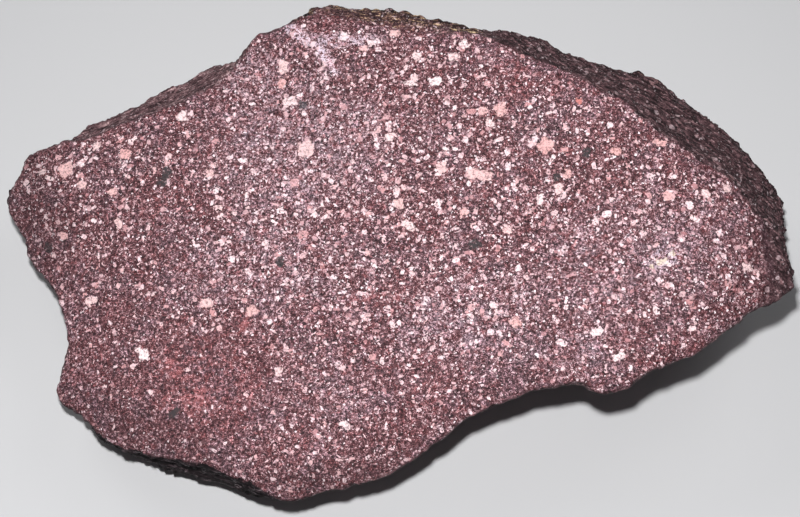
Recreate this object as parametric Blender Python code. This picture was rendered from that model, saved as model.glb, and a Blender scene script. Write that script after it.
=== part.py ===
"""A hand specimen of porphyry: one lump of purple-red rock, lying with its broad broken face upwards.

The lump is drawn the way a person standing in front of it and looking steeply down sees it. On that
drawing u runs to the right, v up the picture and w towards the viewer, all in millimetres, with the
middle of the broken face at zero. The rim is the sharp edge all round the broken face. From the rim a
wall goes down and back to the foot, and from the foot the underside runs in to a small flat spot, on
which the stone rests. In the finished part the ground is at Z = 0 and +X is the stone's long side.
"""

import math

import bmesh
import bpy
from mathutils import Vector, geometry, noise

MM = 0.001

# How the drawing lies in space
VIEWER_AWAY = 320.0  # from the viewer's eye to the middle of the broken face
LOOKING_DOWN = math.radians(66.0)  # how steeply the viewer looks down on the ground
FACE_MIDDLE_UP = 27.0  # height of the middle of the broken face above the ground

# The broken face leans back from the viewer and rises to the right, and its two ends droop
FACE_RISE_RIGHT = 0.15
FACE_LEAN_BACK = 0.26
END_LENGTH = 30.0
RIGHT_END_FROM, RIGHT_END_DROOP = 45.0, 9.0
LEFT_END_FROM, LEFT_END_DROOP = -45.0, 4.5
EDGE_ROUNDING, EDGE_WIDTH = 1.3, 2.8  # how much the face drops at its rim, and how fast

# A shallow shell-shaped scoop near the top left of the face, with a raised lip on its right side
SCOOP_MIDDLE = Vector((-25.5, 31.0))
SCOOP_RADIUS, SCOOP_DEPTH = 13.0, 1.5
LIP_HEIGHT, LIP_RADIUS, LIP_WIDTH = 0.7, 13.6, 1.8

# Low swells of the broken face: their spacing and height
SWELLS = ((34.0, 1.3), (12.0, 0.55), (5.0, 0.22))
SWELLS_SEED = 3.7

# The sides and the underside broke off in shallow shell-shaped hollows with sharp ridges between them:
# the size of a hollow and its depth, and the spacing and height of the smaller bumps on top
WALL_HOLLOW, WALL_HOLLOW_DEPTH, WALL_SEED = 15.0, 2.6, 9.1
UNDERSIDE_HOLLOW, UNDERSIDE_HOLLOW_DEPTH, UNDERSIDE_SEED = 20.0, 3.4, 4.9
SMALL_BUMPS = ((7.0, 0.5), (3.5, 0.25))
FLANK_CALM = 0.6  # the flanks that are seen are calmer than the hidden sides
ROUGH_FROM = 0.33  # part of the way down over which the roughness of a flank sets in
BELLY_CALM = 0.25  # the same, on each side of its belly
BREAK_WAVES = ((17.0, 1.8), (7.0, 0.8))  # how the flat breaks further below wander

# How the wall curves in to the foot, and the underside down to the resting spot: 1 would be straight
WALL_CURVE, UNDERSIDE_CURVE = 1.2, 1.25

# How finely the surface is divided
COLUMN_STEP = 3.0  # along the rim
WALL_STEPS = (0.0, 0.05, 0.13, 0.22, 0.33, 0.44, 0.55, 0.66, 0.77, 0.89, 1.0)
FACE_GRID = 3.0
UNDERSIDE_GRID = 3.8
SPOT_CORNERS, SPOT_GRID = 40, 9.0
GRID_MARGIN = 0.5  # part of a grid's spacing that is left free along an outline

# Dents of the rim shorter than these are left out by the wall just below it and by the foot
WALL_SMOOTHING, FOOT_SMOOTHING = 6.0, 18.0
WALL_SMOOTH_FROM = 0.2
STRETCH_BLEND = 9.0  # how far along the rim one stretch's wall turns into the next one's

LEAST_GAP = 0.35  # the underside round the resting spot stays at least this far off the ground
LEAST_STEP = 1e-5  # places nearer together than this count as one
STONE_MIDDLE_UP = 13.5  # height of the middle of the stone, from which the breaks are measured

# The flat resting spot, as a closed curve about its middle: mean half length and half depth, and how
# far its edge wanders in and out
SPOT_MIDDLE = Vector((3.5, 9.0))
SPOT_HALF_LENGTH, SPOT_HALF_DEPTH = 36.0, 21.0
SPOT_WANDER, SPOT_WANDERS, SPOT_SEED = 0.35, 1.7, 5.0

# The rim, clockwise from the left nose, in stretches. Each stretch gives how its wall goes down:
# "belly" is the part of the way down at which the wall stands out furthest, "tuck" is how far the foot
# lies in under the rim, and "foot" is the foot's height above the ground. Each rim point is (u, v, out):
# where it is seen, and how far the wall below it stands out beyond it.
RIM = (
    {
        "name": "left nose", "belly": 0.1, "tuck": 8.0, "foot": 6.5,
        "points": (
            (-74.9, 11.5, 0.0), (-74.0, 13.6, 0.0), (-72.0, 15.9, 0.0), (-71.8, 17.5, 0.0),
            (-70.9, 19.1, 0.0), (-68.4, 20.2, 0.0), (-65.8, 21.4, 0.0),
        ),
    },
    {
        "name": "upper left flank", "belly": 0.7, "tuck": 4.0, "foot": 3.5,
        "points": (
            (-62.2, 22.4, 0.6), (-58.5, 22.9, 2.5), (-55.5, 24.6, 2.2), (-51.8, 25.8, 2.5),
            (-47.7, 27.3, 3.1), (-42.8, 29.0, 3.6), (-39.1, 31.1, 3.4), (-34.1, 33.8, 3.3),
            (-31.9, 36.0, 1.6), (-30.2, 37.7, 0.4),
        ),
    },
    {
        "name": "notch", "belly": 0.15, "tuck": 6.0, "foot": 6.0,
        "points": (
            (-29.4, 39.4, 0.0), (-28.1, 41.6, 0.0), (-27.2, 42.8, 0.0), (-24.8, 42.7, 0.0),
            (-23.4, 43.4, 0.0), (-21.9, 44.6, 0.0), (-19.7, 45.2, 0.0), (-17.7, 46.1, 0.2),
        ),
    },
    {
        "name": "weathered top strip", "belly": 0.16, "tuck": 5.0, "foot": 5.0,
        "points": (
            (-16.8, 46.4, 1.9), (-13.7, 46.0, 2.2), (-10.0, 45.9, 2.2), (-6.3, 44.6, 3.2),
            (-1.5, 43.7, 3.8), (3.8, 43.4, 3.0), (9.5, 43.0, 2.1), (14.1, 43.0, 0.6),
        ),
    },
    {
        "name": "upper right flank", "belly": 0.75, "tuck": 5.0, "foot": 3.0,
        "points": (
            (18.0, 41.4, 2.5), (22.4, 39.7, 3.4), (25.3, 38.0, 3.9), (30.1, 36.3, 3.5),
            (34.4, 34.3, 4.0), (38.2, 32.1, 5.2), (41.6, 30.4, 6.9), (44.0, 28.4, 8.1),
            (46.7, 26.0, 8.4), (49.3, 24.0, 8.2), (53.5, 21.2, 8.1), (57.7, 18.3, 7.7),
            (61.0, 16.5, 7.0), (63.5, 14.5, 6.2), (66.2, 11.3, 5.7), (68.4, 8.1, 5.5),
            (70.9, 5.4, 3.5), (72.8, 0.9, 0.2),
        ),
    },
    {
        "name": "right nose", "belly": 0.15, "tuck": 8.0, "foot": 8.0,
        "points": ((74.4, -2.8, 0.0), (75.0, -4.6, 0.0), (74.6, -5.6, 0.0), (73.0, -7.5, 0.0)),
    },
    {
        "name": "right lower edge", "belly": 0.05, "tuck": 9.0, "foot": 7.0,
        "points": (
            (69.0, -9.3, 0.0), (66.6, -10.4, 0.0), (65.5, -11.1, 0.0), (63.8, -13.1, 0.0),
            (61.3, -14.3, 0.0), (58.3, -16.6, 0.0), (56.6, -18.5, 0.0), (54.3, -19.3, 0.0),
            (50.2, -20.4, 0.0), (47.1, -21.9, 0.0),
        ),
    },
    {
        "name": "tooth", "belly": 0.12, "tuck": 9.0, "foot": 7.5,
        "points": (
            (44.6, -23.1, 0.0), (43.7, -24.9, 0.0), (41.5, -25.3, 0.0), (40.1, -25.9, 0.0),
            (37.9, -25.9, 0.0), (35.9, -25.1, 0.0), (34.5, -23.7, 0.0),
        ),
    },
    {
        "name": "lower edge", "belly": 0.05, "tuck": 8.0, "foot": 6.0,
        "points": (
            (30.2, -24.2, 0.0), (27.9, -25.1, 0.0), (25.1, -25.0, 0.0), (22.5, -26.6, 0.0),
            (17.7, -28.3, 0.0), (15.0, -29.7, 0.0), (13.1, -30.0, 0.0), (11.4, -31.6, 0.0),
            (9.2, -33.7, 0.0), (5.5, -36.0, 0.0), (2.1, -39.0, 0.0), (0.2, -39.6, 0.0),
        ),
    },
    {
        "name": "lower corner", "belly": 0.1, "tuck": 6.0, "foot": 5.0,
        "points": (
            (-4.2, -42.0, 0.0), (-9.0, -43.1, 0.0), (-11.7, -44.0, 0.0), (-15.4, -44.9, 0.0),
            (-18.1, -45.5, 0.0), (-19.7, -46.3, 0.0), (-23.8, -46.3, 0.0),
        ),
    },
    {
        "name": "layered lower left side", "belly": 0.6, "tuck": 4.0, "foot": 3.5,
        "points": (
            (-26.2, -44.7, 1.4), (-28.7, -42.7, 2.3), (-33.1, -41.4, 2.1), (-37.1, -39.2, 3.4),
            (-41.4, -38.5, 2.9), (-45.2, -37.7, 2.6), (-51.0, -36.9, 1.0), (-55.9, -35.4, 0.2),
        ),
    },
    {
        "name": "lower left corner", "belly": 0.15, "tuck": 6.0, "foot": 4.0,
        "points": (
            (-57.6, -33.6, 0.0), (-58.7, -31.6, 0.0), (-60.2, -30.1, 0.0), (-62.0, -28.8, 0.0),
            (-64.5, -28.2, 0.0), (-65.0, -27.0, 0.0), (-65.4, -25.1, 0.0), (-65.0, -23.5, 0.0),
        ),
    },
    {
        "name": "bite in the left edge", "belly": 0.1, "tuck": 6.0, "foot": 4.5,
        "points": (
            (-64.1, -20.8, 0.0), (-63.5, -18.5, 0.0), (-62.9, -16.0, 0.0), (-63.8, -11.8, 0.0),
            (-64.5, -8.8, 0.0), (-65.8, -6.0, 0.0), (-67.2, -4.0, 0.0), (-70.1, -1.4, 0.0),
        ),
    },
    {
        "name": "under the left nose", "belly": 0.1, "tuck": 8.0, "foot": 6.0,
        "points": (
            (-71.0, 0.1, 0.0), (-71.1, 3.7, 0.0), (-72.8, 5.6, 0.0), (-73.6, 6.7, 0.0),
            (-74.3, 8.5, 0.0), (-74.7, 10.4, 0.0),
        ),
    },
)

# Nearly flat breaks that take off whatever stands beyond them: the direction that the break faces
# (degrees anticlockwise from +X as seen from above, degrees up from level) and its distance from the
# middle of the stone
BREAKS = (
    (80.0, -50.0, 39.4),
    (104.0, -34.0, 50.4),
    (60.0, -66.0, 28.4),
    (22.0, -50.0, 53.4),
    (6.0, -68.0, 33.6),
    (340.0, -62.0, 35.9),
    (318.0, -48.0, 37.4),
    (298.0, -56.0, 21.6),
    (262.0, -70.0, 21.9),
    (222.0, -62.0, 34.9),
    (196.0, -56.0, 42.7),
    (160.0, -64.0, 35.9),
    (130.0, -52.0, 44.6),
    (108.0, -68.0, 27.0),
)


def blend(a, b, share):
    return a + (b - a) * share


def waves(place, layers, seed):
    """Smooth random height at a place: each layer is (spacing, height)."""
    total = 0.0
    for spacing, height in layers:
        total += height * noise.noise(place / spacing + Vector((seed, seed, 0.0)))
    return total


def hollows(place, size, depth):
    """Shell-shaped hollows that meet in ridges: depth in the middle of each hollow, 0 on the ridges."""
    reach = noise.voronoi(place / size)[0][0]
    return depth * (1.0 - min(1.0, reach) ** 2)


def ground_w(v):
    """Where a line of sight at height v on the drawing meets the ground."""
    return -(FACE_MIDDLE_UP + v * math.cos(LOOKING_DOWN)) / math.sin(LOOKING_DOWN)


def in_space(u, v, w):
    """A point of the drawing in real space. What is nearer the viewer looks bigger, so it is drawn in."""
    nearness = 1.0 - w / VIEWER_AWAY
    across = u * nearness
    upward = v * nearness
    return Vector((
        across,
        upward * math.sin(LOOKING_DOWN) - w * math.cos(LOOKING_DOWN),
        upward * math.cos(LOOKING_DOWN) + w * math.sin(LOOKING_DOWN) + FACE_MIDDLE_UP,
    ))


def face_w(u, v, to_rim):
    """How near the viewer the broken face is at (u, v), which lies to_rim inside the rim."""
    w = FACE_RISE_RIGHT * u - FACE_LEAN_BACK * v
    w -= RIGHT_END_DROOP * (max(0.0, u - RIGHT_END_FROM) / END_LENGTH) ** 2
    w -= LEFT_END_DROOP * (max(0.0, LEFT_END_FROM - u) / END_LENGTH) ** 2
    w -= EDGE_ROUNDING * math.exp(-to_rim / EDGE_WIDTH)
    w += scoop(u, v)
    w += waves(Vector((u, v, 0.0)), SWELLS, SWELLS_SEED)
    return w


def scoop(u, v):
    """The scoop's bowl, and its lip to the right."""
    offset = Vector((u, v)) - SCOOP_MIDDLE
    bowl = -SCOOP_DEPTH * max(0.0, 1.0 - (offset.length / SCOOP_RADIUS) ** 2)
    to_the_right = max(0.0, offset.normalized().x) if offset.length else 0.0
    lip = LIP_HEIGHT * to_the_right * math.exp(-((offset.length - LIP_RADIUS) / LIP_WIDTH) ** 2)
    return bowl + lip


def rim_columns():
    """The rim cut into short steps. Each column holds its place and how its wall goes down."""
    corners = []
    for stretch in RIM:
        for u, v, out in stretch["points"]:
            corners.append({"place": Vector((u, v)), "out": out, "stretch": stretch})
    columns = []
    for corner, following in zip(corners, corners[1:] + corners[:1]):
        length = (following["place"] - corner["place"]).length
        steps = max(1, math.ceil(length / COLUMN_STEP))
        for step in range(steps):
            share = step / steps
            column = {
                "place": corner["place"].lerp(following["place"], share),
                "out": blend(corner["out"], following["out"], share),
            }
            for key in ("belly", "tuck", "foot"):
                column[key] = blend(corner["stretch"][key], following["stretch"][key], share)
            columns.append(column)
    return columns


def smoothed(columns, key, width):
    """The mean of a value over each column's neighbours along the rim, up to width away."""
    count = len(columns)
    reach = range(-count // 4, count // 4)
    result = []
    for i, column in enumerate(columns):
        total = column[key] * 0.0
        weights = 0.0
        for step in reach:
            other = columns[(i + step) % count]
            distance = along(columns, i, step)
            if distance < width:
                weight = 0.5 + 0.5 * math.cos(math.pi * distance / width)
                total = total + other[key] * weight
                weights += weight
        result.append(total / weights)
    return result


def along(columns, start, step):
    """Distance along the rim from one column to another, step columns further."""
    count = len(columns)
    here = columns[start]["distance"]
    there = columns[(start + step) % count]["distance"]
    gap = abs(there - here)
    return min(gap, columns[0]["whole_rim"] - gap)


def measure_rim(columns):
    """Gives each column its distance along the rim."""
    distance = 0.0
    for column, following in zip(columns, columns[1:] + columns[:1]):
        column["distance"] = distance
        distance += (following["place"] - column["place"]).length
    for column in columns:
        column["whole_rim"] = distance


def outward(places, i):
    """The direction that points away from the stone at one of a closed clockwise row of places."""
    way = places[(i + 1) % len(places)] - places[i - 1]
    return Vector((-way.y, way.x)).normalized()


def shape_walls(columns):
    """Gives each column its outward direction and the place of its foot."""
    for key in ("belly", "tuck", "foot"):
        for column, value in zip(columns, smoothed(columns, key, STRETCH_BLEND)):
            column[key] = value
    soft_rim = smoothed(columns, "place", FOOT_SMOOTHING)
    near_rim = smoothed(columns, "place", WALL_SMOOTHING)
    for i, column in enumerate(columns):
        column["outward"] = outward(near_rim, i)
        column["near_place"] = near_rim[i]
        column["foot_place"] = soft_rim[i] - soft_rim[i].normalized() * column["tuck"]
        place = column["foot_place"]
        column["foot_w"] = ground_w(place.y) + column["foot"] / math.sin(LOOKING_DOWN)


def wall_point(column, down):
    """A point of the wall, down from the rim at 0 to the foot at 1."""
    belly = column["belly"]
    rise = min(1.0, down / belly)
    under = max(0.0, (down - belly) / (1.0 - belly)) ** WALL_CURVE
    standing = column["place"].lerp(column["near_place"], min(1.0, down / WALL_SMOOTH_FROM))
    standing = standing + column["outward"] * column["out"] * rise
    place = standing.lerp(column["foot_place"], under)
    w = blend(column["rim_w"], column["foot_w"], down)
    here = Vector((place.x, place.y, w))
    roughness = waves(here, SMALL_BUMPS, WALL_SEED) - hollows(here, WALL_HOLLOW, WALL_HOLLOW_DEPTH)
    on_flank = FLANK_CALM * min(1.0, down / ROUGH_FROM) * min(1.0, abs(down - belly) / BELLY_CALM)
    share = blend(under, on_flank, min(1.0, column["out"]))
    place = place + column["outward"] * roughness * share
    return in_space(place.x, place.y, w)


def spot_outline():
    """The edge of the flat resting spot, anticlockwise as seen from above."""
    places = []
    for number in range(SPOT_CORNERS):
        angle = 2.0 * math.pi * number / SPOT_CORNERS
        circle = Vector((math.cos(angle), math.sin(angle)))
        wander = 1.0 + SPOT_WANDER * noise.noise((circle * SPOT_WANDERS).to_3d() + Vector((0, 0, SPOT_SEED)))
        half = Vector((SPOT_HALF_LENGTH, SPOT_HALF_DEPTH)) * wander
        places.append(SPOT_MIDDLE + Vector((half.x * circle.x, half.y * circle.y)))
    return places


def underside_point(place, feet, outline, spot):
    """A point of the underside: at the foot it meets the wall, and towards the flat spot it comes down."""
    if inside(spot, place):
        return place.to_3d()
    to_foot = distance_to(outline, place)
    to_spot = distance_to(spot, place)
    weights = [1.0 / ((foot.xy - place).length_squared + 1.0) for foot in feet]
    foot_height = sum(weight * foot.z for weight, foot in zip(weights, feet)) / sum(weights)
    share = to_spot / (to_spot + to_foot)
    point = Vector((place.x, place.y, foot_height * share ** UNDERSIDE_CURVE))
    roughness = hollows(point, UNDERSIDE_HOLLOW, UNDERSIDE_HOLLOW_DEPTH)
    roughness += waves(point, SMALL_BUMPS, UNDERSIDE_SEED)
    point.z = max(LEAST_GAP, point.z + roughness * math.sin(math.pi * share))
    return point


def broken_off(point):
    """The point, pulled back to any break that it stands beyond."""
    for azimuth, up, reach in BREAKS:
        level = math.cos(math.radians(up))
        facing = Vector((
            math.cos(math.radians(azimuth)) * level,
            math.sin(math.radians(azimuth)) * level,
            math.sin(math.radians(up)),
        ))
        beyond = facing.dot(point - Vector((0.0, 0.0, STONE_MIDDLE_UP))) - reach
        beyond += waves(point, BREAK_WAVES, azimuth)
        if beyond > 0.0:
            point = point - facing * beyond
    return point


def grid_inside(outline, step):
    """Places on a triangular grid inside an outline."""
    places = []
    lowest = Vector((min(p.x for p in outline), min(p.y for p in outline)))
    highest = Vector((max(p.x for p in outline), max(p.y for p in outline)))
    row_step = step * math.sqrt(0.75)
    for row in range(int((highest.y - lowest.y) / row_step) + 1):
        for number in range(int((highest.x - lowest.x) / step) + 1):
            place = lowest + Vector(((number + 0.5 * (row % 2)) * step, row * row_step))
            if inside(outline, place) and distance_to(outline, place) > GRID_MARGIN * step:
                places.append(place)
    return places


def inside(outline, place):
    """Whether a place lies inside an outline, which a line from it then crosses an odd number of times."""
    crossings = 0
    for a, b in zip(outline, outline[1:] + outline[:1]):
        if (a.y > place.y) != (b.y > place.y):
            if place.x < a.x + (place.y - a.y) / (b.y - a.y) * (b.x - a.x):
                crossings += 1
    return crossings % 2 == 1


def distance_to(outline, place):
    nearest = math.inf
    for a, b in zip(outline, outline[1:] + outline[:1]):
        way = b - a
        share = max(0.0, min(1.0, (place - a).dot(way) / way.length_squared))
        nearest = min(nearest, (a + way * share - place).length)
    return nearest


def fill(mesh, edge_vertices, outline, places, vertex_at, inner=()):
    """Fills an outline with triangles through the given places inside it, and along any inner outline."""
    edges = closed_edges(0, len(outline)) + closed_edges(len(outline), len(inner))
    found = geometry.delaunay_2d_cdt(outline + list(inner) + places, edges, [], 1, LEAST_STEP)
    points, triangles, origins = found[0], found[2], found[3]
    vertices = []
    for point, origin in zip(points, origins):
        if origin and origin[0] < len(outline):
            vertices.append(edge_vertices[origin[0]])
        else:
            vertices.append(mesh.verts.new(vertex_at(Vector(point))))
    for triangle in triangles:
        mesh.faces.new([vertices[i] for i in triangle])


def closed_edges(first, count):
    return [(first + i, first + (i + 1) % count) for i in range(count)]


def add_ring(mesh, upper, points):
    """Joins a ring of new points to the ring above it, and returns the new ring."""
    lower = [mesh.verts.new(point) for point in points]
    for i in range(len(lower)):
        following = (i + 1) % len(lower)
        mesh.faces.new((upper[i], upper[following], lower[following], lower[i]))
    return lower


def build_stone():
    columns = rim_columns()
    measure_rim(columns)
    shape_walls(columns)
    rim = [column["place"] for column in columns]
    for column in columns:
        column["rim_w"] = face_w(column["place"].x, column["place"].y, 0.0)

    mesh = bmesh.new()
    ring = [mesh.verts.new(wall_point(column, 0.0)) for column in columns]
    fill(
        mesh, ring, rim, grid_inside(rim, FACE_GRID),
        lambda place: in_space(place.x, place.y, face_w(place.x, place.y, distance_to(rim, place))),
    )
    for down in WALL_STEPS[1:]:
        ring = add_ring(mesh, ring, [broken_off(wall_point(column, down)) for column in columns])
    feet = [vertex.co.copy() for vertex in ring]
    outline = [foot.xy for foot in feet]
    spot = spot_outline()
    places = grid_inside(outline, UNDERSIDE_GRID)
    places = [place for place in places if distance_to(spot, place) > GRID_MARGIN * UNDERSIDE_GRID]
    places = [place for place in places if not inside(spot, place)]
    places += grid_inside(spot, SPOT_GRID)
    fill(
        mesh, ring, outline, places,
        lambda place: broken_off(underside_point(place, feet, outline, spot)), spot,
    )

    bmesh.ops.triangulate(mesh, faces=mesh.faces[:])
    bmesh.ops.recalc_face_normals(mesh, faces=mesh.faces[:])
    settle_on_origin(mesh)
    return mesh


def settle_on_origin(mesh):
    """Puts the middle of the stone's box over the origin, and its lowest point on the ground."""
    xs = [vertex.co.x for vertex in mesh.verts]
    ys = [vertex.co.y for vertex in mesh.verts]
    lowest = min(vertex.co.z for vertex in mesh.verts)
    shift = Vector((-(min(xs) + max(xs)) / 2, -(min(ys) + max(ys)) / 2, -lowest))
    bmesh.ops.translate(mesh, verts=mesh.verts, vec=shift)
    bmesh.ops.scale(mesh, verts=mesh.verts, vec=Vector((MM, MM, MM)))


def porphyry_material():
    material = bpy.data.materials.new("porphyry")
    material.use_nodes = True
    shader = material.node_tree.nodes["Principled BSDF"]
    shader.inputs["Base Color"].default_value = (0.235, 0.125, 0.138, 1.0)
    shader.inputs["Roughness"].default_value = 0.62
    shader.inputs["Metallic"].default_value = 0.0
    return material


def main():
    for obj in list(bpy.data.objects):
        bpy.data.objects.remove(obj)
    mesh = bpy.data.meshes.new("stone")
    shape = build_stone()
    shape.to_mesh(mesh)
    shape.free()
    mesh.materials.append(porphyry_material())
    stone = bpy.data.objects.new("stone", mesh)
    bpy.context.scene.collection.objects.link(stone)


main()
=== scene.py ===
import math

import bpy
import numpy as np
from mathutils import Matrix, Vector
from mathutils.bvhtree import BVHTree


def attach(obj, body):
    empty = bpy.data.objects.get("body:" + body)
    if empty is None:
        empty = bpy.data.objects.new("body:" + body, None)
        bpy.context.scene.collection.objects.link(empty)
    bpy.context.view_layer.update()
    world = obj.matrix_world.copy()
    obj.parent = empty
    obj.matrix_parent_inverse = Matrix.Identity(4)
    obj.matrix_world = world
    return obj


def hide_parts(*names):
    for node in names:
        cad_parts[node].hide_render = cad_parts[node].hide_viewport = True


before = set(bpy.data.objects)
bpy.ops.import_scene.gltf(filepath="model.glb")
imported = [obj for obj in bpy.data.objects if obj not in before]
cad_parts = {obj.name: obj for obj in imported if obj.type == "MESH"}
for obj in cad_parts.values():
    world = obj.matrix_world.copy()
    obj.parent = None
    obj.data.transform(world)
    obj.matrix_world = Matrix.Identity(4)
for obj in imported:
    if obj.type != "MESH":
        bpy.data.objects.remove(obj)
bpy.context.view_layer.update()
mm = 0.001

# The stone lies with its broken face up and a viewer in front of it looks steeply down. What is placed is
# given in millimetres as seen from there: right of and above the middle of the face.
view = {
    "faceMiddle": Vector((0.96, -6.6, 27.0)) * mm,
    "away": 320.0 * mm,
    "lookingDown": math.radians(66.0),
    "seenWidth": 152.0 * mm,    # what the picture spans at the distance of the face
    "sensor": 36.0,
    "clip": (0.01, 20.0),       # the nearest and farthest that it shows, in metres
}
seenRight = Vector((1.0, 0.0, 0.0))
seenUp = Vector((0.0, math.sin(view["lookingDown"]), math.cos(view["lookingDown"])))
seenNear = Vector((0.0, -math.cos(view["lookingDown"]), math.sin(view["lookingDown"])))
viewer = view["faceMiddle"] + seenNear * view["away"]


def makeCamera():
    bpy.ops.object.camera_add(location=viewer, rotation=(math.pi / 2 - view["lookingDown"], 0.0, 0.0))
    eye = bpy.context.object
    eye.name = "camera"
    eye.data.sensor_width = view["sensor"]
    eye.data.lens = view["sensor"] * view["away"] / view["seenWidth"]
    eye.data.clip_start, eye.data.clip_end = view["clip"]
    bpy.context.scene.camera = eye


makeCamera()
print("camera set")

mergedWithin = 0.001 * mm     # points nearer together than this become one
weightSteps = 20              # a vertex group's weights are rounded to this many steps
zoneFade = (0.45, 1.3)        # a zone is full up to the first share of its size and gone at the second


def pickOnly(piece):
    bpy.ops.object.select_all(action="DESELECT")
    piece.select_set(True)
    bpy.context.view_layer.objects.active = piece


def applyModifier(piece, kind, **settings):
    pickOnly(piece)
    modifier = piece.modifiers.new(kind.lower(), kind)
    for name, value in settings.items():
        setattr(modifier, name, value)
    bpy.ops.object.modifier_apply(modifier=modifier.name)


# a closed mesh of the CAD node, whose triangles come in loose
def copyOfNode(nodeName, pieceName):
    piece = bpy.data.objects.new(pieceName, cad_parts[nodeName].data.copy())
    bpy.context.scene.collection.objects.link(piece)
    piece.data.materials.clear()
    pickOnly(piece)
    bpy.ops.object.mode_set(mode="EDIT")
    bpy.ops.mesh.select_all(action="SELECT")
    bpy.ops.mesh.remove_doubles(threshold=mergedWithin)
    bpy.ops.object.mode_set(mode="OBJECT")
    return piece


# 0 up to start, 1 from end on, smooth between them
def ramp(values, start, end):
    share = np.clip((values - start) / (end - start), 0.0, 1.0)
    return share * share * (3.0 - 2.0 * share)


def points(piece):
    flat = np.zeros(len(piece.data.vertices) * 3)
    piece.data.vertices.foreach_get("co", flat)
    return flat.reshape(-1, 3)


def normals(piece):
    flat = np.zeros(len(piece.data.vertices) * 3)
    piece.data.vertices.foreach_get("normal", flat)
    return flat.reshape(-1, 3)


# how far right and up each place is seen, in millimetres at the distance of the face
def asSeen(places):
    offset = places - np.array(view["faceMiddle"])
    nearness = 1.0 - offset @ np.array(seenNear) / view["away"]
    return offset @ np.array(seenRight) / nearness / mm, offset @ np.array(seenUp) / nearness / mm


def setGroup(piece, name, weights):
    group = piece.vertex_groups.new(name=name)
    levels = np.round(weights * weightSteps).astype(int)
    for level in range(1, weightSteps + 1):
        group.add(np.nonzero(levels == level)[0].tolist(), level / weightSteps, "REPLACE")


# a value for each point, or three for each face
def setField(piece, name, values):
    if values.ndim == 1:
        field = piece.data.attributes.new(name, "FLOAT", "POINT")
        field.data.foreach_set("value", values.astype(np.float32))
    else:
        field = piece.data.attributes.new(name, "FLOAT_VECTOR", "FACE")
        field.data.foreach_set("vector", values.astype(np.float32).ravel())


# soft patches round places that are seen; each is right, up, half width, half height, turn in degrees
# and strength
def zones(right, up, patches):
    field = np.zeros(len(right))
    for middleRight, middleUp, halfWidth, halfHeight, turn, strength in patches:
        cosine, sine = math.cos(math.radians(turn)), math.sin(math.radians(turn))
        along = ((right - middleRight) * cosine + (up - middleUp) * sine) / halfWidth
        across = ((up - middleUp) * cosine - (right - middleRight) * sine) / halfHeight
        field = np.maximum(field, strength * (1.0 - ramp(np.hypot(along, across), *zoneFade)))
    return field


# the value about which each kind of noise lies, so that it pushes as far out as in
noiseMiddle = {"SOFT_NOISE": 0.5, "HARD_NOISE": 0.216}


# pushes the surface in and out by a noise whose spacing may differ along its three directions
def roughen(piece, where, height, spacing, turn=0.0, kind="SOFT_NOISE", basis="IMPROVED_PERLIN", depth=2,
            middle=None):
    bpy.ops.object.empty_add(rotation=(0.0, 0.0, math.radians(turn)))
    grid = bpy.context.object
    grid.scale = Vector(spacing) * mm
    pattern = bpy.data.textures.new("roughness", "CLOUDS")
    pattern.noise_scale = 1.0
    pattern.noise_depth = depth
    pattern.noise_type = kind
    pattern.noise_basis = basis
    middle = noiseMiddle[kind] if middle is None else middle
    applyModifier(
        piece, "DISPLACE", texture=pattern, texture_coords="OBJECT", texture_coords_object=grid,
        vertex_group=where, strength=height * mm, mid_level=middle,
    )
    bpy.data.objects.remove(grid)
    bpy.data.textures.remove(pattern)


# how far the streaks and ridges of each outer side are turned from level, in degrees
sideTurns = {"layered": -19.0, "rightFlank": -36.0, "topStrip": -6.0, "leftFlank": 27.0}

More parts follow.
